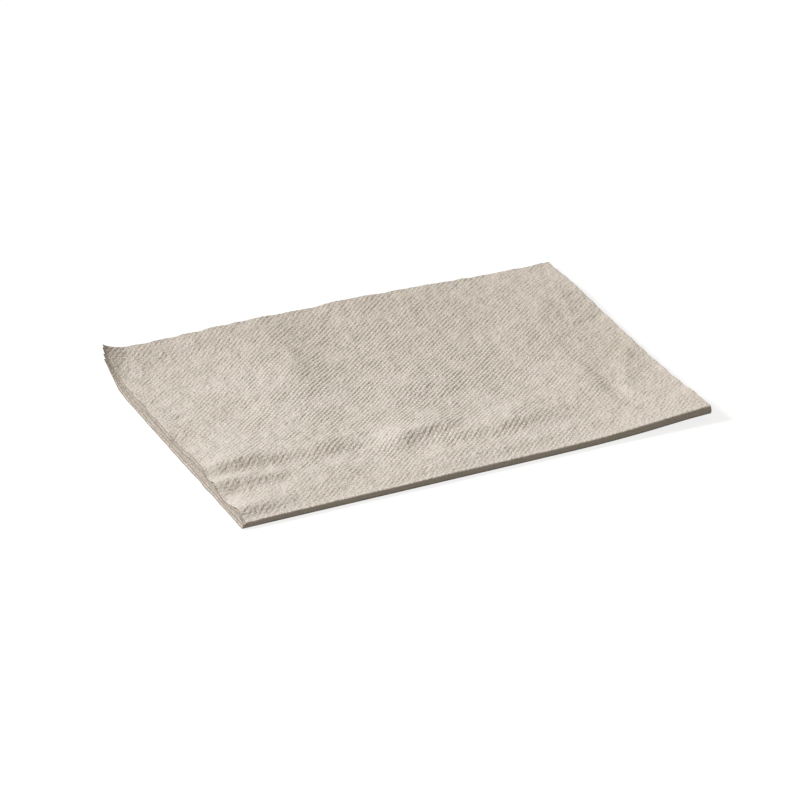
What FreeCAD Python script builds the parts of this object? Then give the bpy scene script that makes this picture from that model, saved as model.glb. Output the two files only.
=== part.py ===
import FreeCAD, Part
import functools
import math
import os

import Sketcher
from FreeCAD import Placement, Rotation, Vector

# A paper napkin: one sheet folded in half, and in half again, lying as it comes to rest.
#
# The first fold is the right edge, along +X. It makes a pair of leaves, one over the other.
# The second fold is the front edge, along -Y. It carries that pair round and back over itself.
# So the left and back edges are open, with four leaves. The upper pair springs open behind the fold
# and lies in soft ridges. It stands highest at the open corner, back left.
# The origin is at the middle of the underside. Millimetres, +Z up.

SIZES = {
    # the sheet as it was cut, along the napkin's long and short sides
    "sheet_length": 330.0,
    "sheet_width": 284.0,
    # the paper's thickness over its emboss
    "paper_gauge": 0.3,
    # clear space between the two leaves of a pair, and between the two pairs
    "first_fold_gap": 0.35,
    "second_fold_gap": 0.5,
    # how far the upper pair's back edge stays in front of the lower pair's
    "back_setback": 0.8,
    # behind the second fold the upper pair is flat at first, and then springs open
    "flat_start": 1.0,
    "spring_run": 9.0,
    "spring_lift": 0.95,
    # how much of the top leaf's lift the leaf under it takes, away from the first fold
    "third_leaf_share": 0.8,
}

# The soft ridges of the top leaf. The middle of each lies so far from the open left edge and so far
# behind the front fold, it spreads so far along each of those two ways, and it has this lift.
RIDGE_SIZES = ("across", "behind", "length", "width", "lift")
RIDGES = {
    "left_ridge": (20.0, 44.0, 32.0, 14.0, 1.6),
    "middle_ridge": (68.0, 40.0, 16.0, 13.0, 1.1),
    "front_ridge": (94.0, 24.0, 26.0, 12.0, 0.8),
    "back_ridge": (42.0, 116.0, 12.0, 30.0, 1.1),
    "left_swell": (0.0, 78.0, 26.0, 24.0, 0.6),
    "right_swell": (142.0, 108.0, 16.0, 20.0, 0.5),
    "back_rise": (34.0, 162.0, 56.0, 24.0, 4.8),
    "corner_curl": (0.0, 150.0, 14.0, 15.0, 4.0),
    "folded_corner": (162.0, 14.0, 16.0, 22.0, 1.2),
    "low_corner": (165.0, 150.0, 44.0, 24.0, -1.4),
}
for ridge, sizes in RIDGES.items():
    SIZES.update({f"{ridge}_{kind}": size for kind, size in zip(RIDGE_SIZES, sizes)})

# Where the ridges are drawn: shares of the way from the left edge to the first fold, and of the way
# from the front fold to the upper pair's back edge
ACROSS_SHARES = (0.0, 0.12, 0.26, 0.39, 0.54, 0.7, 0.85, 1.0)
BEHIND_SHARES = (0.09, 0.18, 0.29, 0.41, 0.57, 0.75, 0.9, 1.0)

START = 1
END = 2
CENTRE = 3
ORIGIN = (-1, 1)
ACROSS_AXIS = -1

doc = FreeCAD.newDocument("Napkin")

sheet = doc.addObject("Spreadsheet::Sheet", "Sizes")
for row, (name, size) in enumerate(SIZES.items(), start=1):
    sheet.set(f"A{row}", name)
    sheet.set(f"B{row}", str(size))
    sheet.setAlias(f"B{row}", name)
doc.recompute()

# Sizes worked out from the sheet's own, as expressions that the sketches are bound to
gauge = "Sizes.paper_gauge"
pair_height = "(2 * Sizes.paper_gauge + Sizes.first_fold_gap)"
pair_middle = f"({pair_height} / 2)"
inner_radius = "(Sizes.first_fold_gap / 2)"
second_radius = f"(({pair_height} + Sizes.second_fold_gap) / 2)"
leaf_length = "((Sizes.sheet_length - pi * (Sizes.first_fold_gap + Sizes.paper_gauge) / 2) / 2)"
leaf_width = f"((Sizes.sheet_width - pi * {second_radius}) / 2)"
half_length = f"(({leaf_length} + {pair_middle}) / 2)"
half_width = f"(({leaf_width} + {second_radius} + {pair_middle}) / 2)"
second_fold_place = f"({half_width} - {leaf_width})"
upper_start = f"({second_fold_place} + Sizes.flat_start)"
upper_reach = f"(2 * {half_width} - Sizes.back_setback)"
upper_underside = f"({pair_height} + Sizes.second_fold_gap)"


@functools.cache
def value(expression):
    """The number that an expression over the sheet's cells gives."""
    return float(sheet.evalExpression(expression))


def origin_plane(body, role):
    """One of a body's own three base planes."""
    for feature in body.Origin.OriginFeatures:
        if feature.Role == role:
            return feature
    raise ValueError(f"no plane {role}")


def new_sketch(body, name, role, offset, turn=Rotation()):
    """A sketch on a base plane, moved by three expressions along the plane's own axes."""
    sketch = body.newObject("Sketcher::SketchObject", name)
    sketch.AttachmentSupport = (origin_plane(body, role), [""])
    sketch.MapMode = "FlatFace"
    sketch.AttachmentOffset = Placement(Vector(*(value(part) for part in offset)), turn)
    for axis, expression in zip("xyz", offset):
        sketch.setExpression(f"AttachmentOffset.Base.{axis}", expression)
    return sketch


def line(sketch, start, end):
    """A straight edge between two points; gives its number in the sketch."""
    return sketch.addGeometry(Part.LineSegment(Vector(*start), Vector(*end)), False)


def arc(sketch, centre, radius, start_angle, end_angle):
    """An arc, anticlockwise between two angles in radians; gives its number in the sketch."""
    circle = Part.Circle(Vector(*centre), Vector(0, 0, 1), radius)
    return sketch.addGeometry(Part.ArcOfCircle(circle, start_angle, end_angle), False)


def constrain(sketch, kind, *items):
    """A geometric constraint, such as Tangent or Horizontal."""
    sketch.addConstraint(Sketcher.Constraint(kind, *items))


def dimension(sketch, kind, *items):
    """A dimension bound to an expression, which is the last item."""
    number = sketch.addConstraint(Sketcher.Constraint(kind, *items[:-1], value(items[-1])))
    sketch.setExpression(f"Constraints[{number}]", items[-1])


def place_point(sketch, point, across, up):
    """Dimensions that hold a point at its place from the sketch's origin."""
    dimension(sketch, "DistanceX", *ORIGIN, *point, across)
    dimension(sketch, "DistanceY", *ORIGIN, *point, up)


def draw_pair_section(body):
    """The pair of leaves in section, open at the left, with the first fold at the right."""
    sketch = new_sketch(body, "FirstFoldSection", "XZ_Plane", ("0", "0", f"-{half_width}"))
    left = -value(half_length)
    fold = left + value(leaf_length)
    middle = value(pair_middle)
    inside = value(inner_radius)
    low, high = middle - inside, middle + inside
    top = 2 * middle

    under = line(sketch, (left, 0), (fold, 0))
    outer_bend = arc(sketch, (fold, middle), middle, -math.pi / 2, math.pi / 2)
    over = line(sketch, (fold, top), (left, top))
    upper_edge = line(sketch, (left, top), (left, high))
    upper_inside = line(sketch, (left, high), (fold, high))
    inner_bend = arc(sketch, (fold, middle), inside, -math.pi / 2, math.pi / 2)
    lower_inside = line(sketch, (fold, low), (left, low))
    lower_edge = line(sketch, (left, low), (left, 0))

    constrain(sketch, "Tangent", under, END, outer_bend, START)
    constrain(sketch, "Tangent", outer_bend, END, over, START)
    constrain(sketch, "Tangent", upper_inside, END, inner_bend, END)
    constrain(sketch, "Tangent", inner_bend, START, lower_inside, START)
    for before, after in ((over, upper_edge), (upper_edge, upper_inside),
                          (lower_inside, lower_edge), (lower_edge, under)):
        constrain(sketch, "Coincident", before, END, after, START)
    for edge in (under, over, upper_inside, lower_inside):
        constrain(sketch, "Horizontal", edge)
    for edge in (upper_edge, lower_edge):
        constrain(sketch, "Vertical", edge)
    constrain(sketch, "Coincident", outer_bend, CENTRE, inner_bend, CENTRE)
    constrain(sketch, "Vertical", under, START, over, END)
    constrain(sketch, "PointOnObject", under, START, ACROSS_AXIS)
    dimension(sketch, "DistanceX", *ORIGIN, under, START, f"-{half_length}")
    dimension(sketch, "DistanceX", under, START, under, END, leaf_length)
    dimension(sketch, "DistanceY", under, START, lower_inside, END, gauge)
    dimension(sketch, "Radius", inner_bend, inner_radius)
    return sketch


def draw_fold_path(body):
    """The way the pair runs: forward underneath, round the second fold, and a little way back."""
    sketch = new_sketch(body, "SecondFoldPath", "YZ_Plane", ("0", "0", "0"))
    low = value(pair_middle)
    radius = value(second_radius)
    fold_at = value(second_fold_place)
    high = low + 2 * radius

    lower_run = line(sketch, (value(half_width), low), (fold_at, low))
    bend = arc(sketch, (fold_at, low + radius), radius, math.pi / 2, 3 * math.pi / 2)
    upper_run = line(sketch, (fold_at, high), (value(upper_start), high))
    constrain(sketch, "Horizontal", lower_run)
    constrain(sketch, "Tangent", lower_run, END, bend, END)
    constrain(sketch, "Tangent", bend, START, upper_run, START)
    constrain(sketch, "Horizontal", upper_run)
    place_point(sketch, (lower_run, START), half_width, pair_middle)
    dimension(sketch, "DistanceX", *ORIGIN, lower_run, END, second_fold_place)
    dimension(sketch, "DistanceX", *ORIGIN, upper_run, END, upper_start)
    dimension(sketch, "Radius", bend, second_radius)
    return sketch


def fold_paper(body):
    """The lower pair and the second fold: the pair of leaves carried along the fold's path."""
    pipe = body.newObject("PartDesign::AdditivePipe", "FoldedSheet")
    pipe.Profile = draw_pair_section(body)
    pipe.Spine = (draw_fold_path(body), [""])
    pipe.Mode = "Binormal"
    pipe.Binormal = Vector(1, 0, 0)
    return pipe


def ridged_lift(across, behind):
    """The top leaf's lift over a flat one, at a place from the left edge and behind the front fold."""
    spring = f"Sizes.spring_lift * (1 - exp(-1 * ({behind} / Sizes.spring_run) ^ 2))"
    ridges = [
        f"Sizes.{ridge}_lift * exp(-1 * ((({across} - Sizes.{ridge}_across) / Sizes.{ridge}_length) ^ 2"
        f" + (({behind} - Sizes.{ridge}_behind) / Sizes.{ridge}_width) ^ 2))"
        for ridge in RIDGES
    ]
    return f"({' + '.join([spring, *ridges])})"


def no_lift(across, behind):
    """Where the upper pair is still flat."""
    return "0"


def draw_leaf(sketch, under):
    """A leaf in section: over it from the fold to its free edge, and back under it to the fold."""
    over = [(across, f"({up} + {gauge})") for across, up in reversed(under)]
    places = [(value(across), value(up)) for across, up in over + under]
    edges = [line(sketch, start, end) for start, end in zip(places, places[1:])]
    for before, after in zip(edges, edges[1:]):
        constrain(sketch, "Coincident", before, END, after, START)
    high_points = [(edge, START) for edge in reversed(edges[:len(under)])]
    low_points = [(edge, END) for edge in edges[-len(under):]]
    for low, high, place in zip(low_points, high_points, under):
        place_point(sketch, low, *place)
        constrain(sketch, "Vertical", *low, *high)
        dimension(sketch, "DistanceY", *low, *high, gauge)
    return edges[0], edges[-1]


def draw_upper_section(body, name, behind, lift):
    """The upper pair in section at a distance behind the front fold, open at the left."""
    sketch = new_sketch(body, name, "XZ_Plane", ("0", "0", f"({half_width} - {behind})"))
    third, fourth = [], []
    for share in ACROSS_SHARES:
        across = f"({share} * {leaf_length})"
        place = f"({across} - {half_length})"
        top_lift = lift(across, behind)
        follow = "1" if share == ACROSS_SHARES[-1] else "Sizes.third_leaf_share"
        third.append((place, f"({upper_underside} + {follow} * {top_lift})"))
        fourth.append((place, f"({upper_underside} + {gauge} + Sizes.first_fold_gap + {top_lift})"))

    third_start, third_end = draw_leaf(sketch, third)
    fourth_start, fourth_end = draw_leaf(sketch, fourth)
    fold = value(third[-1][0])
    middle = value(third[-1][1]) + value(pair_middle)
    outer_bend = arc(sketch, (fold, middle), value(pair_middle), -math.pi / 2, math.pi / 2)
    inner_bend = arc(sketch, (fold, middle), value(inner_radius), -math.pi / 2, math.pi / 2)
    constrain(sketch, "Coincident", third_end, END, outer_bend, START)
    constrain(sketch, "Coincident", outer_bend, END, fourth_start, START)
    constrain(sketch, "Coincident", fourth_end, END, inner_bend, END)
    constrain(sketch, "Coincident", inner_bend, START, third_start, START)
    for bend in (outer_bend, inner_bend):
        dimension(sketch, "DistanceX", *ORIGIN, bend, CENTRE, third[-1][0])
    return sketch


def lay_upper_pair(body):
    """The upper pair, laid through its sections from the second fold to its open back edge."""
    flat_reach = f"({half_width} + {upper_start})"
    loft = body.newObject("PartDesign::AdditiveLoft", "UpperPair")
    loft.Profile = draw_upper_section(body, "FlatSection", flat_reach, no_lift)
    loft.Sections = [
        draw_upper_section(body, f"RidgedSection{number}", f"({share} * {upper_reach})", ridged_lift)
        for number, share in enumerate(BEHIND_SHARES, start=1)
    ]
    loft.Ruled = True
    return loft


napkin = doc.addObject("PartDesign::Body", "Napkin")
napkin.Label = "napkin"
fold_paper(napkin)
lay_upper_pair(napkin)
napkin.Placement = Placement()
doc.recompute()

for item in doc.Objects:
    if "Invalid" in item.State or "Error" in item.State:
        raise RuntimeError(f"{item.Name} failed: {item.State}")
    if item.isDerivedFrom("Sketcher::SketchObject") and not item.FullyConstrained:
        raise RuntimeError(f"{item.Name} isn't fully constrained")

os.makedirs("parts", exist_ok=True)
for body in (napkin,):
    shape = body.Shape
    if shape.isNull() or not shape.isValid() or len(shape.Solids) != 1:
        raise RuntimeError(f"{body.Label} is not one good solid")
    print(f"{body.Label}: volume {shape.Volume:.1f} mm3, box {shape.BoundBox}")
    shape.exportStep(f"parts/{body.Label}.step")
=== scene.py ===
import math
from collections import namedtuple

import bmesh
import bpy
from mathutils import Matrix, Vector, noise


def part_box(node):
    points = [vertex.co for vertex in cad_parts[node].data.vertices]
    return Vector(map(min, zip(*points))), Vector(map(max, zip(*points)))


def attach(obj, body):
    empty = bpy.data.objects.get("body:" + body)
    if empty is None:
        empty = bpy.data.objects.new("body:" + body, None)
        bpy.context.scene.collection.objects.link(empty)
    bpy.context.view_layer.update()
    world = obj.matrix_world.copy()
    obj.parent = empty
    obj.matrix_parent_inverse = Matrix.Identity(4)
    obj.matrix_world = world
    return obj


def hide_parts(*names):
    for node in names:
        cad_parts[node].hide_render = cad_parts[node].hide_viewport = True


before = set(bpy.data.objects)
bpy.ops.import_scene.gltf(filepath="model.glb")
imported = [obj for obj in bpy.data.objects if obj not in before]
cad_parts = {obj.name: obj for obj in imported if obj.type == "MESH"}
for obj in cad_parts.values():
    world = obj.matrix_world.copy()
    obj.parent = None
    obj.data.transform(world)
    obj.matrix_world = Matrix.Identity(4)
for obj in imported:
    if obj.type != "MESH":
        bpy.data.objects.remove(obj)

bl_info = {
    "name": "Paper Napkin",
    "version": (1, 0, 0),
    "blender": (4, 5, 0),
    "location": "View3D > Sidebar > Napkin",
    "description": "An embossed paper napkin, folded twice, with its studio stage",
    "category": "Object",
}

MM = 0.001
LOWEST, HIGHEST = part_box("napkin")


# Settings

class NapkinPaperSettings(bpy.types.PropertyGroup):
    """The sheet's sizes and colours."""

    sheet_length: bpy.props.FloatProperty(
        name="Sheet length", description="The open sheet along the napkin's long side",
        default=330 * MM, min=0.05, unit="LENGTH")
    sheet_width: bpy.props.FloatProperty(
        name="Sheet width", description="The open sheet along the napkin's short side",
        default=284 * MM, min=0.05, unit="LENGTH")
    paper: bpy.props.FloatProperty(
        name="Paper", description="Thickness of the paper itself, without its emboss",
        default=0.17 * MM, min=0.01 * MM, unit="LENGTH")
    gauge: bpy.props.FloatProperty(
        name="Gauge", description="Thickness of one leaf over its emboss",
        default=0.3 * MM, min=0.05 * MM, unit="LENGTH")
    leaf_gap: bpy.props.FloatProperty(
        name="Leaf gap", description="Clear space between the two leaves of a pair, at the first fold",
        default=0.35 * MM, min=0.05 * MM, unit="LENGTH")
    pair_gap: bpy.props.FloatProperty(
        name="Pair gap", description="Clear space between the two pairs, at the second fold",
        default=0.5 * MM, min=0.05 * MM, unit="LENGTH")
    emboss_cell: bpy.props.FloatProperty(
        name="Emboss cell", description="Side of the emboss's square cell, with a dot at its middle too",
        default=2.1 * MM, min=0.5 * MM, unit="LENGTH")
    emboss_depth: bpy.props.FloatProperty(
        name="Emboss depth", description="Height from the emboss's pits to its dots",
        default=0.15 * MM, min=0.0, unit="LENGTH")
    curl_along: bpy.props.FloatProperty(
        name="Curl along", description="How much of the long side curls up at the open corner",
        default=14 * MM, min=1 * MM, unit="LENGTH")
    curl_across: bpy.props.FloatProperty(
        name="Curl across", description="How much of the short side curls up at the open corner",
        default=26 * MM, min=1 * MM, unit="LENGTH")
    # Painted highlight: a lighter colour laid on the tops of the emboss's raised dots
    dot_highlight_colour: bpy.props.FloatVectorProperty(
        name="Dot highlight colour", description="On the emboss's dots", subtype="COLOR", size=3,
        default=(0.905, 0.860, 0.810), min=0, max=1)
    paper_colour: bpy.props.FloatVectorProperty(
        name="Paper colour", description="Unbleached paper", subtype="COLOR", size=3,
        default=(0.797, 0.744, 0.698), min=0, max=1)
    rosy_colour: bpy.props.FloatVectorProperty(
        name="Rosy colour", description="Where the pulp is redder", subtype="COLOR", size=3,
        default=(0.842, 0.750, 0.728), min=0, max=1)
    olive_colour: bpy.props.FloatVectorProperty(
        name="Olive colour", description="Where the pulp is greyer", subtype="COLOR", size=3,
        default=(0.700, 0.670, 0.585), min=0, max=1)
    # Painted shade: this colour darkens the emboss's pits and one corner of the sheet, standing in for
    # shade rather than the paper's own tone
    painted_shade_colour: bpy.props.FloatVectorProperty(
        name="Painted shade colour", description="Between the emboss's dots", subtype="COLOR", size=3,
        default=(0.500, 0.445, 0.380), min=0, max=1)
    # This colour is the real dark fibres' and specks', and also the painted shade along the cut edges
    fibre_and_shade_colour: bpy.props.FloatVectorProperty(
        name="Fibre and shade colour", description="Short dark fibres", subtype="COLOR", size=3,
        default=(0.350, 0.290, 0.220), min=0, max=1)


class NapkinStageSettings(bpy.types.PropertyGroup):
    """The light, the floor and the camera."""

    key_strength: bpy.props.FloatProperty(
        name="Key strength", description="The lamp's light on a surface that faces it",
        default=3.57, min=0)
    key_azimuth: bpy.props.FloatProperty(
        name="Key azimuth", description="Where the lamp stands, anticlockwise from +X",
        default=math.radians(150), subtype="ANGLE")
    key_elevation: bpy.props.FloatProperty(
        name="Key elevation", description="The lamp's height over the horizon",
        default=math.radians(36), subtype="ANGLE")
    key_spread: bpy.props.FloatProperty(
        name="Key spread", description="How wide the lamp looks from the napkin",
        default=math.radians(14), subtype="ANGLE")
    fill: bpy.props.FloatVectorProperty(
        name="Fill", description="The even light from all round", subtype="COLOR", size=3,
        default=(0.272, 0.243, 0.196), min=0, max=1)
    floor_shade: bpy.props.FloatProperty(
        name="Floor shade", description="How much of the floor's white is lit by the lamps",
        default=0.22, min=0, max=1)
    floor_glow: bpy.props.FloatProperty(
        name="Floor glow", description="How much of the floor's white is its own, to the camera",
        default=0.83, min=0, max=1)
    view_azimuth: bpy.props.FloatProperty(
        name="View azimuth", description="The camera's direction, from behind -Y towards +X",
        default=math.radians(-19.2), subtype="ANGLE")
    view_elevation: bpy.props.FloatProperty(
        name="View elevation", description="The camera's height over the horizon",
        default=math.radians(24.8), subtype="ANGLE")
    view_roll: bpy.props.FloatProperty(
        name="View roll", description="The camera's lean about its own axis",
        default=math.radians(-4.7), subtype="ANGLE")
    view_distance: bpy.props.FloatProperty(
        name="View distance", description="From the camera to what it aims at",
        default=2.693, min=0.1, unit="LENGTH")
    view_lens: bpy.props.FloatProperty(
        name="View lens", description="Focal length in millimetres on a 36 mm sensor",
        default=360.0, min=10)
    view_aim: bpy.props.FloatVectorProperty(
        name="View aim", description="The point of the floor at the picture's centre",
        default=(-2.4 * MM, -3.1 * MM, 0.0), size=3, unit="LENGTH")


# The folded sheet

Ridge = namedtuple("Ridge", "x y turn long front back lift")

# The top leaf's ridges and dents, in millimetres from the napkin's middle and in degrees.
# long is half the length along the ridge, front and back are the widths of its two slopes.
RIDGES = (
    Ridge(-74, -30, -2, 40, 5, 16, 2.3),
    Ridge(-72, -31, 8, 8, 3, 5, 1.1),
    Ridge(-41, -34.5, -8, 8, 3.5, 8, 1.1),
    Ridge(-77, -43.5, -8, 17, 3.6, 5.5, 2.7),
    Ridge(-45, -50, -4, 14, 8, 5, 0.8),
    Ridge(-80, -63.5, 0, 13, 3.6, 6, 2.1),
    Ridge(-7, -38, 1, 11, 4.5, 14, 2.2),
    Ridge(-16.5, -41.5, 44, 7, 4, 8, 1.3),
    Ridge(0, -40, -35, 6, 4, 8, 0.7),
    Ridge(-10, -60, -3, 15, 8, 6.5, 1.2),
    Ridge(21, -46, -3, 19, 5, 14, 2.3),
    Ridge(12, -63, 0, 16, 6, 6, 0.5),
    Ridge(-29, 42, 84, 38, 11, 20, 1.6),
    Ridge(-30, 27, 75, 8, 5, 6, 0.5),
    Ridge(-71, 62, 75, 16, 6, 6, 0.3),
    Ridge(-57, 8, 0, 6, 5, 5, -0.7),
    Ridge(-74, 14, 0, 2.5, 2.5, 2.5, -0.45),
    Ridge(-80, -3, 0, 5, 5, 5, -0.6),
    Ridge(57, -29, 87, 20, 3.5, 10, 1.0),
    Ridge(76.5, -13, 61, 10, 2.6, 1.8, 0.32),
    Ridge(68.5, -31, 70, 10, 2.6, 1.8, 0.4),
    Ridge(66.5, -50, 91, 10, 2.6, 1.8, 0.25),
    Ridge(79, -18, 20, 4, 3, 3, -0.35),
    Ridge(80, -50, 20, 4, 3, 3, -0.35),
    Ridge(64, 34, 55, 24, 11, 13, 0.8),
    Ridge(14, 20, 0, 4, 3.5, 3.5, -0.35),
    Ridge(2, -1, 20, 14, 8, 12, 0.7),
    Ridge(12, 64, 86, 16, 34, 16, 1.3),
    Ridge(-62, 84, 0, 44, 20, 20, 3.0),
    Ridge(-6, 84, 0, 20, 18, 20, 2.0),
    Ridge(24, 82, 0, 14, 14, 14, 0.6),
    Ridge(-86, -46, 90, 22, 12, 12, -0.9),
    Ridge(72, 78, 0, 34, 24, 22, -1.2),
    Ridge(92, -72, 90, 28, 36, 36, 3.0),
)

# How far the upper pair stands over its height at the fold, and how soon it gets there
PAIR_RISE = 0.8 * MM
PAIR_RISE_RUN = 10 * MM
# How far each leaf has sprung up at the open edges, how far in that reaches, how uneven it is, and over
# what length
LEAF_SPRING = {1: 0.0, 2: 0.25 * MM, 3: 0.5 * MM, 4: 0.85 * MM}
SPRING_RUN = 14 * MM
SPRING_UNEVEN = 0.8
SPRING_UNEVEN_LENGTH = 20 * MM
# How much of that spring the left edges have, against the back ones
LEFT_SPRING = 0.4
# The sharp upper edge that the second fold is pressed to: its height, place and width round the fold
FOLD_LIP = 0.25 * MM
LIP_ANGLE = math.radians(47)
LIP_WIDTH = math.radians(22)
# The crease under it
FOLD_PINCH = 0.14 * MM
PINCH_ANGLE = math.radians(8)
PINCH_WIDTH = math.radians(13)
# How uneven both are along the fold, and over what length
PRESS_UNEVEN = 0.6
PRESS_UNEVEN_LENGTH = 12 * MM
# How far from a fold the leaves that it joins are free to part
FOLD_HOLD = 28 * MM
# How much of the top leaf's shape the leaf under it follows
THIRD_LEAF_SHARE = 0.9
# How much of it the lower leaves follow at the open corner, and how far from there
LOWER_SHARES = {1: 0.45, 2: 0.65}
CORNER_RUN = 26 * MM
# How much of it they follow at the closed corner, and how far from there
CLOSED_SHARE = 0.75
CLOSED_RUN = 45 * MM
# A leaf that follows no more of it than this isn't lifted by it
LEAST_SHARE = 0.01
# How far the closed corner's ear stands out along the long side, how much of that along the short one,
# and how far from the corner it reaches
EAR = 0.6 * MM
EAR_TURN = 0.3
EAR_RUN = 5 * MM
# The tightness of each leaf's curl at the open corner
CURL_RADII = {1: 24.5 * MM, 2: 23.5 * MM, 3: 22 * MM, 4: 21 * MM}
# Small even waves of the two upper leaves: height and length
SWELLS = ((0.30 * MM, 34 * MM), (0.18 * MM, 9 * MM), (0.31 * MM, 4.5 * MM), (0.16 * MM, 2.6 * MM))
# How much of them is left at the second fold, and how far from it they are whole
SWELL_AT_FOLD = 0.25
SWELL_RUN = 8 * MM
# How much the emboss's depth varies in patches, the noise above which it grows no further, and their size
EMBOSS_FADE = 0.8
EMBOSS_PATCH_MOST = 0.5
EMBOSS_PATCH = 11 * MM
# How uneven its dots are, and in how many steps across one cell
EMBOSS_JITTER = 0.22
JITTER_STEPS = 3
# How far from the folds it is pressed out
EMBOSS_RUN = 3.5 * MM
# Where on the flat sheet it is deepest, how far that reaches, how far off it is weakest, and what is left
EMBOSS_HEART = (-80 * MM, 75 * MM, 0.0)
EMBOSS_FULL_WITHIN = 25 * MM
EMBOSS_WEAK_BEYOND = 90 * MM
EMBOSS_WEAKEST = 0.35
# How much shorter each leaf is at its cut edges, along the sheet and across it, or longer if below 0
LEAF_TRIM = {
    1: (-1.3 * MM, 0.1 * MM),
    2: (-1.0 * MM, 0.5 * MM),
    3: (-0.6 * MM, 0.9 * MM),
    4: (0.2 * MM, 0.4 * MM),
}
# Where the top leaf's short edge stands out of line, how long that stretch is, and how far it stands out
ASKEW_PLACE = -45 * MM
ASKEW_RUN = 20 * MM
ASKEW = 1.2 * MM
# Waves of the cut edges, in the paper's plane: height, length, and how far in they reach
EDGE_WAVE = 0.35 * MM
EDGE_WAVE_LENGTH = 8 * MM
EDGE_WAVE_RUN = 5 * MM
# Where each kind of wave is read in the noise, so that no two are alike
SWELL_SLICE = 29.2
SPRING_SLICE = 3.1
PRESS_SLICE = 6.2
PATCH_SLICE = 4.4
JITTER_SLICE = 0.5
SHORT_EDGE_SLICE = 2.1
LONG_EDGE_SLICE = 5.7
# Steps of the sheet's mesh round each fold
FOLD_STEPS = 16
# How near a fine mesh line may come to a fold's last line or a cut edge, in steps
LINE_ROOM = 0.3
# Mesh pitch of the leaves that don't show: beside a fold, its growth from line to line, and the widest
COARSE_START = 0.5 * MM
COARSE_GROWTH = 1.6
COARSE_PITCH = 6 * MM
# Near a cut edge it is one of this many parts of the way that is left, and no finer than this
COARSE_PARTS = 3
COARSE_END = 1 * MM
# The emboss's mesh corners that lie lower than this are joined across its cells
PIT_LEVEL = -0.9
SHARP_ANGLE = math.radians(50)


def smooth_step(share):
    """0 to 1 with level ends, for a share that may lie outside them."""
    share = min(max(share, 0.0), 1.0)
    return share * share * (3 - 2 * share)


def ripple(x, y):
    """The top leaf's lift over a flat one, from its ridges and dents."""
    lift = 0.0
    for ridge in RIDGES:
        turn = math.radians(ridge.turn)
        dx, dy = x / MM - ridge.x, y / MM - ridge.y
        along = dx * math.cos(turn) + dy * math.sin(turn)
        across = dy * math.cos(turn) - dx * math.sin(turn)
        width = ridge.front if across < 0 else ridge.back
        lift += ridge.lift * math.exp(-(along / ridge.long) ** 2 - (across / width) ** 2)
    return lift * MM


def swell(x, y):
    """The small even waves that the two upper leaves share."""
    return sum(height * noise.noise(Vector((x / length, y / length, SWELL_SLICE)))
               for height, length in SWELLS)


def emboss_height(u, v, cell):
    """The emboss, from -1 in its pits to 1 on its dots."""
    return math.cos(2 * math.pi * u / cell) * math.cos(2 * math.pi * v / cell)


def emboss_strength(u, v):
    """How much of the emboss's depth is left at a place, which is most at its heart."""
    away = (Vector((u, v, 0.0)) - Vector(EMBOSS_HEART)).length
    fading = smooth_step((away - EMBOSS_FULL_WITHIN) / (EMBOSS_WEAK_BEYOND - EMBOSS_FULL_WITHIN))
    return 1 - (1 - EMBOSS_WEAKEST) * fading


def uneven_emboss(u, v, cell):
    """The emboss with its weak patches and uneven dots, pressed out over the folds."""
    patch = noise.noise(Vector((u / EMBOSS_PATCH, v / EMBOSS_PATCH, PATCH_SLICE)))
    depth = 1 + EMBOSS_FADE * min(patch, EMBOSS_PATCH_MOST)
    pressed = smooth_step(abs(u) / EMBOSS_RUN) * smooth_step(abs(v) / EMBOSS_RUN)
    step = Vector((JITTER_STEPS * u / cell, JITTER_STEPS * v / cell, JITTER_SLICE))
    jitter = EMBOSS_JITTER * noise.cell(step)
    return (emboss_height(u, v, cell) * depth * emboss_strength(u, v) + jitter) * pressed


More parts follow.
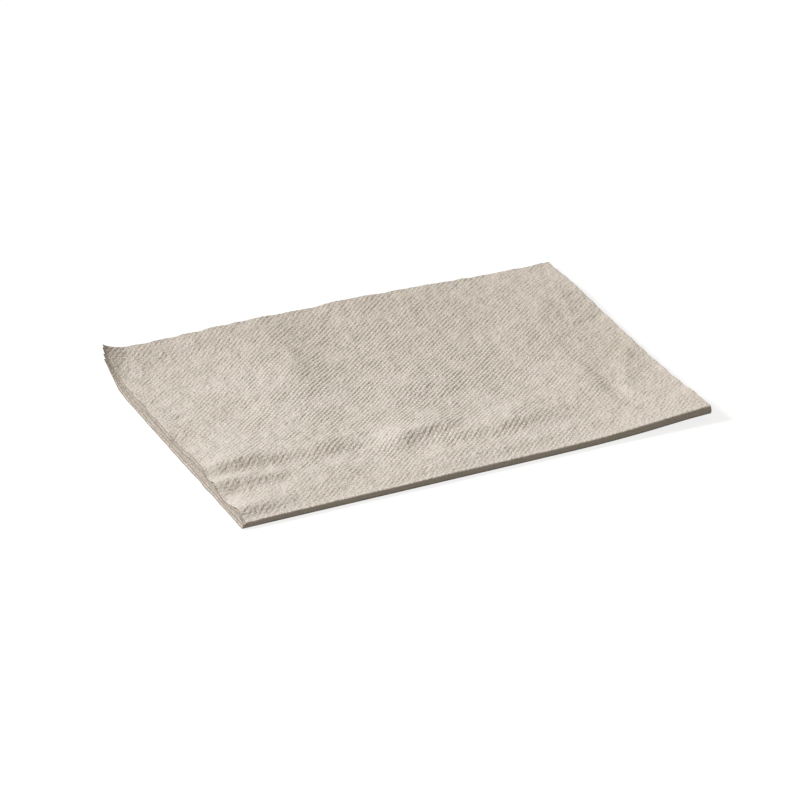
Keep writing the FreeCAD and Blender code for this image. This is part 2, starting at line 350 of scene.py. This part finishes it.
class FoldedSheet:
    """Carries a point of the flat sheet to its place in the folded napkin.

    u runs along the sheet's long side and v along its short one, both from the sheet's middle.
    The first fold is at u = 0 and the second at v = 0. The outer leaves have u below 0, and the
    upper ones v above 0, so the leaves from the bottom up are 1, 2, 3 and 4.
    """

    def __init__(self, paper):
        self.paper = paper
        self.leaf_radius = (paper.leaf_gap + paper.gauge) / 2
        self.pair_middle = (2 * paper.gauge + paper.leaf_gap) / 2
        self.pair_radius = self.pair_middle + paper.pair_gap / 2
        self.first_fold = HIGHEST.x - self.pair_middle
        self.second_fold = LOWEST.y + self.pair_middle + self.pair_radius
        self.left = LOWEST.x
        self.back = HIGHEST.y

    def leaf(self, u, v):
        """The number of the leaf that a point is on, from the bottom up."""
        if v > 0:
            return 4 if u < 0 else 3
        return 1 if u < 0 else 2

    def cut_edge(self, u, v):
        """Moves a point near a cut edge in or out, so that the edge isn't quite straight."""
        half_length, half_width = self.paper.sheet_length / 2, self.paper.sheet_width / 2
        leaf = self.leaf(u, v)
        trim_along, trim_across = LEAF_TRIM[leaf]
        trim_along *= smooth_step((half_width - abs(v)) / CORNER_RUN)
        along = Vector((v / EDGE_WAVE_LENGTH, leaf, SHORT_EDGE_SLICE))
        wave = EDGE_WAVE * noise.noise(along) - trim_along
        if leaf == 4:
            wave += ASKEW * math.exp(-((v + self.second_fold - ASKEW_PLACE) / ASKEW_RUN) ** 2)
        near = smooth_step(1 - (half_length - abs(u)) / EDGE_WAVE_RUN)
        new_u = u + math.copysign(wave * near, u)
        across = Vector((leaf, u / EDGE_WAVE_LENGTH, LONG_EDGE_SLICE))
        wave = EDGE_WAVE * noise.noise(across) - trim_across
        near = smooth_step(1 - (half_width - abs(v)) / EDGE_WAVE_RUN)
        return new_u, v + math.copysign(wave * near, v)

    def fold(self, u, v, outward):
        """The place of a point if every leaf were flat, offset outward from the sheet."""
        radius = self.leaf_radius
        reach = abs(u) - math.pi * radius / 2
        if reach > 0:
            x = self.first_fold - reach
            height = math.copysign(radius + outward, u)
        else:
            x = self.first_fold + (radius + outward) * math.cos(u / radius)
            height = (radius + outward) * math.sin(u / radius)

        radius = self.pair_radius
        height += self.pressed_in(u, v / radius)
        reach = abs(v) - math.pi * radius / 2
        if reach > 0:
            y = self.second_fold + reach
            upward = math.copysign(radius - height, v)
        else:
            y = self.second_fold - (radius - height) * math.cos(v / radius)
            upward = (radius - height) * math.sin(v / radius)
        return Vector((x, y, self.pair_middle + radius + upward))

    def pressed_in(self, u, angle):
        """How far the outer leaves are pressed in along the second fold, or out where it is below 0."""
        uneven = 1 + PRESS_UNEVEN * noise.noise(Vector((u / PRESS_UNEVEN_LENGTH, 0.0, PRESS_SLICE)))
        pinch = FOLD_PINCH * uneven * math.exp(-((angle - PINCH_ANGLE) / PINCH_WIDTH) ** 2)
        lip = FOLD_LIP * uneven * math.exp(-((angle - LIP_ANGLE) / LIP_WIDTH) ** 2)
        return (pinch - lip) * smooth_step(-u / EMBOSS_RUN)

    def spring(self, x, y, leaf):
        """How far a leaf has sprung up near the open edges."""
        from_left, from_back = x - self.left, self.back - y
        by_left = LEFT_SPRING * math.exp(-from_left / SPRING_RUN)
        by_back = math.exp(-from_back / SPRING_RUN)
        open_edge = 1 - (1 - by_left) * (1 - by_back)
        by_second = smooth_step((y - self.second_fold) / FOLD_HOLD)
        by_first = smooth_step((self.first_fold - x) / FOLD_HOLD)
        at_wave = Vector((x / SPRING_UNEVEN_LENGTH, y / SPRING_UNEVEN_LENGTH, SPRING_SLICE * leaf))
        wave = 1 + SPRING_UNEVEN * noise.noise(at_wave)
        within_pair = by_first * by_second
        rise = {
            1: LEAF_SPRING[1],
            2: LEAF_SPRING[2] * within_pair,
            3: LEAF_SPRING[2] * within_pair + (LEAF_SPRING[3] - LEAF_SPRING[2]) * by_second,
            4: (LEAF_SPRING[3] - LEAF_SPRING[2]) * by_second
               + (LEAF_SPRING[2] + LEAF_SPRING[4] - LEAF_SPRING[3]) * within_pair,
        }[leaf]
        return rise * open_edge * wave

    def settle(self, place, u, v):
        """Gives a flat leaf its lift, ripples and waves, and the closed corner its ear."""
        x, y, _ = place
        leaf = self.leaf(u, v)
        over_fold = (1 + math.sin(min(max(v / self.pair_radius, -math.pi / 2), math.pi / 2))) / 2
        rise = PAIR_RISE * (1 - math.exp(-((y - LOWEST.y) / PAIR_RISE_RUN) ** 2))
        from_closed = math.hypot(HIGHEST.x - x, y - LOWEST.y)
        lower = CLOSED_SHARE * math.exp(-(from_closed / CLOSED_RUN) ** 2)
        if leaf < 3:
            from_open = math.hypot(x - self.left, self.back - y)
            lower += LOWER_SHARES[leaf] * math.exp(-(from_open / CORNER_RUN) ** 2)
        share = over_fold + (1 - over_fold) * lower
        if leaf == 3:
            share *= 1 - (1 - THIRD_LEAF_SHARE) * smooth_step((self.first_fold - x) / FOLD_HOLD)
        lift = share * (rise + ripple(x, y)) if share > LEAST_SHARE else 0.0
        lift += self.spring(x, y, leaf)
        if leaf > 2:
            from_fold = smooth_step((y - self.second_fold) / SWELL_RUN)
            lift += over_fold * (SWELL_AT_FOLD + (1 - SWELL_AT_FOLD) * from_fold) * swell(x, y)
        ear = EAR * math.exp(-(from_closed / EAR_RUN) ** 2)
        return place + Vector((ear, -EAR_TURN * ear, lift))

    def curl(self, place, leaf):
        """Bends a leaf up about a line across the open corner."""
        radius = CURL_RADII[leaf]
        inwards = Vector((self.paper.curl_across, -self.paper.curl_along, 0.0)).normalized()
        bend_start = Vector((self.left + self.paper.curl_along, self.back, place.z))
        past = (bend_start - place).dot(inwards)
        if past <= 0:
            return place
        shift = past - radius * math.sin(past / radius)
        return place + inwards * shift + Vector((0.0, 0.0, radius * (1 - math.cos(past / radius))))

    def place(self, u, v):
        """Where a point of the flat sheet's outer face lies on the folded napkin."""
        leaf = self.leaf(u, v)
        relief = 0.0
        if leaf == 4:
            relief = uneven_emboss(u, v, self.paper.emboss_cell) * self.paper.emboss_depth / 2
        new_u, new_v = self.cut_edge(u, v)
        flat_leaf = self.fold(new_u, new_v, relief + self.paper.paper / 2)
        return self.curl(self.settle(flat_leaf, u, v), leaf)


def fold_lines(radius):
    """Mesh lines round a fold, evenly spaced over its half turn."""
    return [math.pi * radius * (step / FOLD_STEPS - 0.5) for step in range(FOLD_STEPS + 1)]


def fine_lines(start, end, pitch):
    """Mesh lines at whole steps of the pitch between two places, and at the far one."""
    first = math.ceil(start / pitch + LINE_ROOM)
    last = math.floor(end / pitch - LINE_ROOM)
    return [step * pitch for step in range(first, last + 1)] + [end]


def coarse_lines(start, end):
    """Mesh lines that widen away from a fold and narrow again towards the cut edge."""
    lines, place, pitch = [], start, COARSE_START
    while place + pitch < end:
        place += pitch
        lines.append(place)
        towards_end = max((end - place) / COARSE_PARTS, COARSE_END)
        pitch = min(pitch * COARSE_GROWTH, COARSE_PITCH, towards_end)
    return lines + [end]


def sheet_lines(paper, folded):
    """The mesh lines across and along the sheet: fine on the top leaf, wider elsewhere."""
    half_cell = paper.emboss_cell / 2
    first_bend = fold_lines(folded.leaf_radius)
    second_bend = fold_lines(folded.pair_radius)
    half_length, half_width = paper.sheet_length / 2, paper.sheet_width / 2
    outer = [-line for line in reversed(fine_lines(first_bend[-1], half_length, half_cell))]
    inner = coarse_lines(first_bend[-1], half_length)
    lower = [-line for line in reversed(fine_lines(second_bend[-1], half_width, paper.emboss_cell))]
    upper = fine_lines(second_bend[-1], half_width, half_cell)
    return outer + first_bend + inner, lower + second_bend + upper


def make_sheet_mesh(paper):
    """The whole sheet as one closed mesh, folded, rippled, curled and given its thickness."""
    folded = FoldedSheet(paper)
    u_lines, v_lines = sheet_lines(paper, folded)
    columns, rows = len(u_lines) - 1, len(v_lines) - 1

    bm = bmesh.new()
    flat = bm.loops.layers.uv.new("flat_sheet")
    bmesh.ops.create_grid(bm, x_segments=columns, y_segments=rows, size=0.5)
    for vert in bm.verts:
        column = round((vert.co.x + 0.5) * columns)
        row = round((vert.co.y + 0.5) * rows)
        vert.co = Vector((u_lines[column], v_lines[row], 0.0))

    def embossed(vert):
        return vert.co.x < -EMBOSS_RUN and vert.co.y > EMBOSS_RUN

    pits = [vert for vert in bm.verts
            if embossed(vert) and emboss_height(vert.co.x, vert.co.y, paper.emboss_cell) < PIT_LEVEL]
    bmesh.ops.connect_verts(bm, verts=pits)
    for face in bm.faces:
        face.smooth = not all(embossed(vert) for vert in face.verts)
        for loop in face.loops:
            loop[flat].uv = loop.vert.co.xy
    for vert in bm.verts:
        vert.co = folded.place(vert.co.x, vert.co.y)
    # The normals are still the flat sheet's here, so the thickness goes straight up, round the folds too.
    bmesh.ops.solidify(bm, geom=bm.faces[:], thickness=-paper.paper)
    bmesh.ops.recalc_face_normals(bm, faces=bm.faces)

    mesh = bpy.data.meshes.new("napkin_sheet")
    bm.to_mesh(mesh)
    bm.free()
    mesh.set_sharp_from_angle(angle=SHARP_ANGLE)
    return mesh


# The paper's finish

Layer = namedtuple("Layer", "low high strength")
Streaks = namedtuple("Streaks", "turn length width low high")

# Each layer of colour: where its mask is 0, where it is 1, and how strongly it is laid on
CLOUDS = Layer(0.35, 0.7, 0.6)
DRIFT = Layer(0.45, 0.7, 0.8)
# Painted shade in the emboss's pits, where shade falls between the dots
PIT_SHADE = Layer(0.6, 0.0, 0.62)
# Painted shade: the sheet grows darker towards one corner, as if less light fell there
CORNER_SHADE = Layer(-60 * MM, 70 * MM, 0.36)
# Painted shade: a dark line along the cut edges, standing in for the shade in the gaps between the leaves
CUT_EDGE_SHADE = Layer(0.30 * MM, 0.06 * MM, 0.9)
# Strength of the painted highlight on the emboss's dots
DOT_HIGHLIGHT_STRENGTH = 0.6
FIBRE_STRENGTH = 0.36
SPECK_STRENGTH = 0.65
# The fibres: direction, length and width, and where their mask is 0 and 1
FIBRES = Streaks(math.radians(25), 1.8 * MM, 0.26 * MM, 0.5, 0.8)
CROSS_FIBRES = Streaks(math.radians(-50), 1.5 * MM, 0.24 * MM, 0.5, 0.82)
# The specks: how far apart, how large, how much of that is fully dark, and the share of places without one
SPECK_SPACING = 5 * MM
SPECK_SIZE = 0.45 * MM
SPECK_CORE = 0.5
SPECK_RARITY = 0.72
# How large the clouds, the drift and the crepe are on the flat sheet
CLOUD_SIZE = 22 * MM
DRIFT_SIZE = 4 * MM
CREPE_LENGTH = 1.6 * MM
CREPE_WIDTH = 1.1 * MM
# How small and sharp the dots are
DOT_SHARPNESS = 2.0
# How far from the short cut edges the emboss starts, and is whole
EMBOSS_STARTS = 0.5 * MM
EMBOSS_WHOLE = 2.2 * MM
# Its weak patches: where their mask is 0 and 1, what is left in them, and how much more there is elsewhere
PATCH_LOW = 0.33
PATCH_HIGH = 0.65
PATCH_LEAST = 0.5
PATCH_GAIN = 0.6
# Heights of the bumps, the emboss's as a share of its depth
CREPE_BUMP = 0.42 * MM
EMBOSS_BUMP = 2.3
FIBRE_BUMP = 0.09 * MM
# The surface between the fibres, what they add to it, and its faint gloss
ROUGHNESS = 0.8
FIBRE_ROUGHNESS = 0.15
SPECULAR = 0.2
SHEEN = 0.08
SHEEN_ROUGHNESS = 0.6


class NodeDesk:
    """Adds and joins a material's nodes."""

    def __init__(self, tree):
        self.tree = tree
        tree.nodes.clear()

    def add(self, kind, label="", **settings):
        """A node with its properties set; a dict named sockets fills its inputs."""
        node = self.tree.nodes.new(kind)
        node.label = label
        for socket, content in settings.pop("sockets", {}).items():
            self.fill(node.inputs[socket], content)
        for name, content in settings.items():
            setattr(node, name, content)
        return node

    def fill(self, socket, content):
        """Joins another node's output to an input, or sets the input's value."""
        if isinstance(content, bpy.types.NodeSocket):
            self.tree.links.new(content, socket)
        else:
            socket.default_value = content

    def math(self, operation, *terms):
        """The output of a sum of one kind, over outputs and numbers."""
        node = self.tree.nodes.new("ShaderNodeMath")
        node.operation = operation
        for socket, content in zip(node.inputs, terms):
            self.fill(socket, content)
        return node.outputs[0]

    def in_steps(self, vector, length, width):
        """A flat vector counted in steps of a length and a width."""
        node = self.tree.nodes.new("ShaderNodeVectorMath")
        node.operation = "MULTIPLY"
        self.fill(node.inputs[0], vector)
        self.fill(node.inputs[1], (1 / length, 1 / width, 0.0))
        return node.outputs[0]

    def noise(self, vector, label, detail=2.0, roughness=0.5):
        """The grey of a flat noise texture at a vector, about 0.5."""
        sockets = {"Vector": vector, "Scale": 1.0, "Detail": detail, "Roughness": roughness}
        node = self.add("ShaderNodeTexNoise", label, noise_dimensions="2D", sockets=sockets)
        return node.outputs["Fac"]

    def ramp(self, value, low, high):
        """0 at low, 1 at high, and clamped outside."""
        node = self.add("ShaderNodeMapRange", clamp=True)
        for socket, content in zip(node.inputs, (value, low, high, 0.0, 1.0)):
            self.fill(socket, content)
        return node.outputs[0]

    def lay_on(self, under, colour, mask, strength, label):
        """A colour laid over another one where a mask is, at a strength."""
        node = self.add("ShaderNodeMix", label, data_type="RGBA")
        self.fill(node.inputs["Factor"], self.math("MULTIPLY", mask, strength))
        self.fill(node.inputs["A"], under)
        self.fill(node.inputs["B"], opaque(colour))
        return node.outputs["Result"]

    def bump(self, height, distance, label, under=None):
        """A bump of a height in metres over another one."""
        node = self.add("ShaderNodeBump", label)
        self.fill(node.inputs["Height"], height)
        node.inputs["Distance"].default_value = distance
        if under is not None:
            self.fill(node.inputs["Normal"], under)
        return node.outputs["Normal"]


def opaque(colour):
    """A colour with full alpha, for a colour socket."""
    return (*colour, 1.0)


def from_cut_nodes(desk, u, v, paper):
    """The distance to the nearest cut edge of the flat sheet, and to the nearest short one."""
    to_short = desk.math("SUBTRACT", paper.sheet_length / 2, desk.math("ABSOLUTE", u))
    to_long = desk.math("SUBTRACT", paper.sheet_width / 2, desk.math("ABSOLUTE", v))
    return desk.math("MINIMUM", to_short, to_long), to_short


def emboss_strength_nodes(desk, flat, u, v, to_short):
    """How much of the emboss there is: none at folds and short edges, and less far from its heart."""
    from_folds = desk.math("MINIMUM", desk.math("ABSOLUTE", u), desk.math("ABSOLUTE", v))
    strength = desk.math("MULTIPLY", desk.ramp(from_folds, 0.0, EMBOSS_RUN),
                         desk.ramp(to_short, EMBOSS_STARTS, EMBOSS_WHOLE))
    away = desk.add("ShaderNodeVectorMath", "from the emboss's heart", operation="DISTANCE",
                    sockets={0: flat, 1: EMBOSS_HEART})
    near = desk.ramp(away.outputs["Value"], EMBOSS_WEAK_BEYOND, EMBOSS_FULL_WITHIN)
    near = desk.math("MULTIPLY_ADD", near, 1 - EMBOSS_WEAKEST, EMBOSS_WEAKEST)
    patch = desk.noise(desk.in_steps(flat, EMBOSS_PATCH, EMBOSS_PATCH), "weak patches")
    patch = desk.math("MULTIPLY_ADD", desk.ramp(patch, PATCH_LOW, PATCH_HIGH), PATCH_GAIN, PATCH_LEAST)
    return desk.math("MULTIPLY", desk.math("MULTIPLY", strength, near), patch)


def emboss_nodes(desk, u, v, cell, strength):
    """The emboss from 0 in its pits to its strength on its dots, over the flat sheet."""
    turns = 2 * math.pi / cell
    across = desk.math("COSINE", desk.math("MULTIPLY", u, turns))
    along = desk.math("COSINE", desk.math("MULTIPLY", v, turns))
    rounded = desk.math("MULTIPLY_ADD", desk.math("MULTIPLY", across, along), 0.5, 0.5)
    return desk.math("MULTIPLY", desk.math("POWER", rounded, DOT_SHARPNESS), strength)


def fibre_nodes(desk, flat, streaks, label):
    """Short streaks in one direction, as fibres lie in the sheet."""
    turned = desk.add("ShaderNodeVectorRotate", label, rotation_type="Z_AXIS",
                      sockets={"Vector": flat, "Angle": streaks.turn})
    steps = desk.in_steps(turned.outputs[0], streaks.length, streaks.width)
    return desk.noise(steps, label, detail=3.0, roughness=0.6)


def speck_nodes(desk, flat):
    """1 inside rare small dots, 0 elsewhere."""
    cells = desk.add("ShaderNodeTexVoronoi", "specks", voronoi_dimensions="2D",
                     sockets={"Vector": desk.in_steps(flat, SPECK_SPACING, SPECK_SPACING), "Scale": 1.0})
    size = SPECK_SIZE / SPECK_SPACING
    near = desk.ramp(cells.outputs["Distance"], size, SPECK_CORE * size)
    picked = desk.add("ShaderNodeSeparateColor", sockets={0: cells.outputs["Color"]})
    return desk.math("MULTIPLY", near, desk.math("GREATER_THAN", picked.outputs[0], SPECK_RARITY))


def paper_bump_nodes(desk, flat, emboss, fibres, depth):
    """The paper's fine relief: its crepe, its emboss and its fibres."""
    crepe = desk.noise(desk.in_steps(flat, CREPE_LENGTH, CREPE_WIDTH), "crepe")
    normal = desk.bump(crepe, CREPE_BUMP, "crepe")
    normal = desk.bump(emboss, EMBOSS_BUMP * depth, "emboss", normal)
    return desk.bump(fibres, FIBRE_BUMP, "fibres", normal)


def make_paper_material(paper):
    """Unbleached napkin paper: embossed, fibrous, mottled and matt, with painted shade in its emboss's
    pits, along its cut edges and towards one corner, and a painted highlight on its dots.
    """
    material = bpy.data.materials.new("napkin_paper")
    material.use_nodes = True
    desk = NodeDesk(material.node_tree)
    flat = desk.add("ShaderNodeUVMap", "flat sheet", uv_map="flat_sheet").outputs["UV"]
    split = desk.add("ShaderNodeSeparateXYZ", sockets={0: flat})
    u, v = split.outputs["X"], split.outputs["Y"]

    def masked(value, layer):
        return desk.ramp(value, layer.low, layer.high)

    to_cut, to_short = from_cut_nodes(desk, u, v, paper)
    strength = emboss_strength_nodes(desk, flat, u, v, to_short)
    emboss = emboss_nodes(desk, u, v, paper.emboss_cell, strength)
    clouds = desk.noise(desk.in_steps(flat, CLOUD_SIZE, CLOUD_SIZE), "clouds", detail=3.0)
    drift = desk.noise(desk.in_steps(flat, DRIFT_SIZE, DRIFT_SIZE), "pulp drift")
    fibres = fibre_nodes(desk, flat, FIBRES, "fibres")
    cross_fibres = fibre_nodes(desk, flat, CROSS_FIBRES, "cross fibres")
    # Mask of the painted shade in the emboss's pits
    pits = desk.math("MULTIPLY", masked(emboss, PIT_SHADE), strength)
    # Mask of the painted shade towards one corner
    corner = masked(desk.math("ADD", u, v), CORNER_SHADE)
    dark = desk.math("MAXIMUM", masked(fibres, FIBRES), masked(cross_fibres, CROSS_FIBRES))
    # Mask of the painted shade along the cut edges
    cut = masked(to_cut, CUT_EDGE_SHADE)

    colour = opaque(paper.paper_colour)
    for tint, mask, share, label in (
            (paper.olive_colour, masked(clouds, CLOUDS), CLOUDS.strength, "greyer clouds"),
            (paper.rosy_colour, masked(drift, DRIFT), DRIFT.strength, "redder drift"),
            # painted shade in the emboss's pits
            (paper.painted_shade_colour, pits, PIT_SHADE.strength, "pits"),
            # painted highlight on the emboss's dots
            (paper.dot_highlight_colour, emboss, DOT_HIGHLIGHT_STRENGTH, "dots"),
            # painted shade towards one corner
            (paper.painted_shade_colour, corner, CORNER_SHADE.strength, "painted shade towards one corner"),
            (paper.fibre_and_shade_colour, dark, FIBRE_STRENGTH, "dark fibres"),
            (paper.fibre_and_shade_colour, speck_nodes(desk, flat), SPECK_STRENGTH, "dark specks"),
            # painted shade along the cut edges
            (paper.fibre_and_shade_colour, cut, CUT_EDGE_SHADE.strength, "cut edges")):
        colour = desk.lay_on(colour, tint, mask, share, label)

    both_fibres = desk.math("ADD", fibres, cross_fibres)
    shader = desk.add("ShaderNodeBsdfPrincipled", "paper", sockets={
        "Base Color": colour,
        "Roughness": desk.math("MULTIPLY_ADD", fibres, FIBRE_ROUGHNESS, ROUGHNESS),
        "Normal": paper_bump_nodes(desk, flat, emboss, both_fibres, paper.emboss_depth),
        "Specular IOR Level": SPECULAR,
        "Sheen Weight": SHEEN,
        "Sheen Roughness": SHEEN_ROUGHNESS,
    })
    desk.add("ShaderNodeOutputMaterial", sockets={"Surface": shader.outputs["BSDF"]})
    return material


# The stage

# How far the floor reaches to each side, in metres, and the width of the camera's sensor in millimetres
FLOOR_REACH = 4.0
SENSOR_WIDTH = 36.0


def shown_rays(desk):
    """1 for the rays that show the stage: the camera's own, reflected and let through."""
    path = desk.add("ShaderNodeLightPath")
    mirrored = desk.math("MAXIMUM", path.outputs["Is Glossy Ray"], path.outputs["Is Transmission Ray"])
    return desk.math("MAXIMUM", path.outputs["Is Camera Ray"], mirrored)


def make_floor_material(lit_share, glow_share):
    """A white floor that keeps a soft shadow and throws little light back."""
    material = bpy.data.materials.new("studio_floor")
    material.use_nodes = True
    desk = NodeDesk(material.node_tree)
    lit = desk.add("ShaderNodeBsdfDiffuse")
    lit.inputs["Color"].default_value = (lit_share, lit_share, lit_share, 1.0)
    glow = desk.add("ShaderNodeEmission")
    desk.fill(glow.inputs["Strength"], desk.math("MULTIPLY", shown_rays(desk), glow_share))
    both = desk.add("ShaderNodeAddShader")
    desk.fill(both.inputs[0], lit.outputs[0])
    desk.fill(both.inputs[1], glow.outputs[0])
    output = desk.add("ShaderNodeOutputMaterial")
    desk.fill(output.inputs["Surface"], both.outputs[0])
    return material


def make_floor(lit_share, glow_share):
    """A broad level floor under the napkin."""
    bm = bmesh.new()
    bmesh.ops.create_grid(bm, x_segments=1, y_segments=1, size=FLOOR_REACH)
    mesh = bpy.data.meshes.new("studio_floor")
    bm.to_mesh(mesh)
    bm.free()
    mesh.materials.append(make_floor_material(lit_share, glow_share))
    floor = bpy.data.objects.new("studio_floor", mesh)
    bpy.context.collection.objects.link(floor)


def make_world(fill):
    """Even light from all round, and white where the camera sees past the floor."""
    world = bpy.data.worlds.new("studio_world")
    world.use_nodes = True
    desk = NodeDesk(world.node_tree)
    light = desk.add("ShaderNodeBackground", "fill")
    light.inputs["Color"].default_value = opaque(fill)
    white = desk.add("ShaderNodeBackground", "white")
    white.inputs["Color"].default_value = (1.0, 1.0, 1.0, 1.0)
    both = desk.add("ShaderNodeMixShader")
    desk.fill(both.inputs[0], shown_rays(desk))
    desk.fill(both.inputs[1], light.outputs[0])
    desk.fill(both.inputs[2], white.outputs[0])
    output = desk.add("ShaderNodeOutputWorld")
    desk.fill(output.inputs["Surface"], both.outputs[0])
    bpy.context.scene.world = world


def direction(azimuth, elevation):
    """The unit vector towards an azimuth anticlockwise from +X and an elevation."""
    level = math.cos(elevation)
    return Vector((math.cos(azimuth) * level, math.sin(azimuth) * level, math.sin(elevation)))


def make_key(stage):
    """One broad far lamp, behind and to the left of the napkin."""
    lamp = bpy.data.lights.new("key", "SUN")
    lamp.energy = stage.key_strength
    lamp.angle = stage.key_spread
    key = bpy.data.objects.new("key", lamp)
    towards = direction(stage.key_azimuth, stage.key_elevation)
    key.rotation_euler = towards.to_track_quat("Z", "Y").to_euler()
    key.location = towards
    bpy.context.collection.objects.link(key)


def make_camera(stage):
    """The camera, at the photograph's viewing angle."""
    data = bpy.data.cameras.new("camera")
    data.sensor_width = SENSOR_WIDTH
    data.lens = stage.view_lens
    camera = bpy.data.objects.new("camera", data)
    back = direction(stage.view_azimuth - math.pi / 2, stage.view_elevation)
    right = Vector((math.cos(stage.view_azimuth), math.sin(stage.view_azimuth), 0.0))
    up = back.cross(right)
    lean = Matrix.Rotation(stage.view_roll, 3, back)
    axes = Matrix((lean @ right, lean @ up, back)).transposed()
    aim = Vector(stage.view_aim)
    camera.matrix_world = Matrix.Translation(aim + back * stage.view_distance) @ axes.to_4x4()
    bpy.context.collection.objects.link(camera)
    bpy.context.scene.camera = camera


# Operators and panel

class NAPKIN_OT_folded_sheet(bpy.types.Operator):
    """Make the folded sheet of paper in the place of its plain solid"""

    bl_idname = "napkin.folded_sheet"
    bl_label = "Folded Sheet"

    def execute(self, context):
        paper = context.scene.napkin_paper
        mesh = make_sheet_mesh(paper)
        mesh.materials.append(make_paper_material(paper))
        napkin = bpy.data.objects.new("napkin_sheet", mesh)
        context.collection.objects.link(napkin)
        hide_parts("napkin")
        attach(napkin, "root")
        return {"FINISHED"}


class NAPKIN_OT_stage(bpy.types.Operator):
    """Make the floor, the light and the camera"""

    bl_idname = "napkin.stage"
    bl_label = "Stage"

    def execute(self, context):
        stage = context.scene.napkin_stage
        make_floor(stage.floor_shade, stage.floor_glow)
        make_world(stage.fill)
        make_key(stage)
        make_camera(stage)
        context.scene.view_settings.view_transform = "Standard"
        return {"FINISHED"}


class NAPKIN_PT_panel(bpy.types.Panel):
    """The napkin's settings and steps"""

    bl_idname = "NAPKIN_PT_panel"
    bl_label = "Paper Napkin"
    bl_space_type = "VIEW_3D"
    bl_region_type = "UI"
    bl_category = "Napkin"

    def draw(self, context):
        layout = self.layout
        for group in (context.scene.napkin_paper, context.scene.napkin_stage):
            box = layout.box()
            for name in group.bl_rna.properties.keys():
                if name not in {"rna_type", "name"}:
                    box.prop(group, name)
        for operator in (NAPKIN_OT_folded_sheet, NAPKIN_OT_stage):
            layout.operator(operator.bl_idname)


CLASSES = (
    NapkinPaperSettings,
    NapkinStageSettings,
    NAPKIN_OT_folded_sheet,
    NAPKIN_OT_stage,
    NAPKIN_PT_panel,
)


def register():
    """Adds the classes and the scene's settings."""
    for cls in CLASSES:
        bpy.utils.register_class(cls)
    bpy.types.Scene.napkin_paper = bpy.props.PointerProperty(type=NapkinPaperSettings)
    bpy.types.Scene.napkin_stage = bpy.props.PointerProperty(type=NapkinStageSettings)


def unregister():
    """Takes them away again."""
    del bpy.types.Scene.napkin_stage
    del bpy.types.Scene.napkin_paper
    for cls in reversed(CLASSES):
        bpy.utils.unregister_class(cls)


def main():
    """Makes the napkin and its stage."""
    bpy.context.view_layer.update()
    register()
    bpy.ops.napkin.folded_sheet()
    bpy.ops.napkin.stage()


if __name__ == "__main__":
    main()
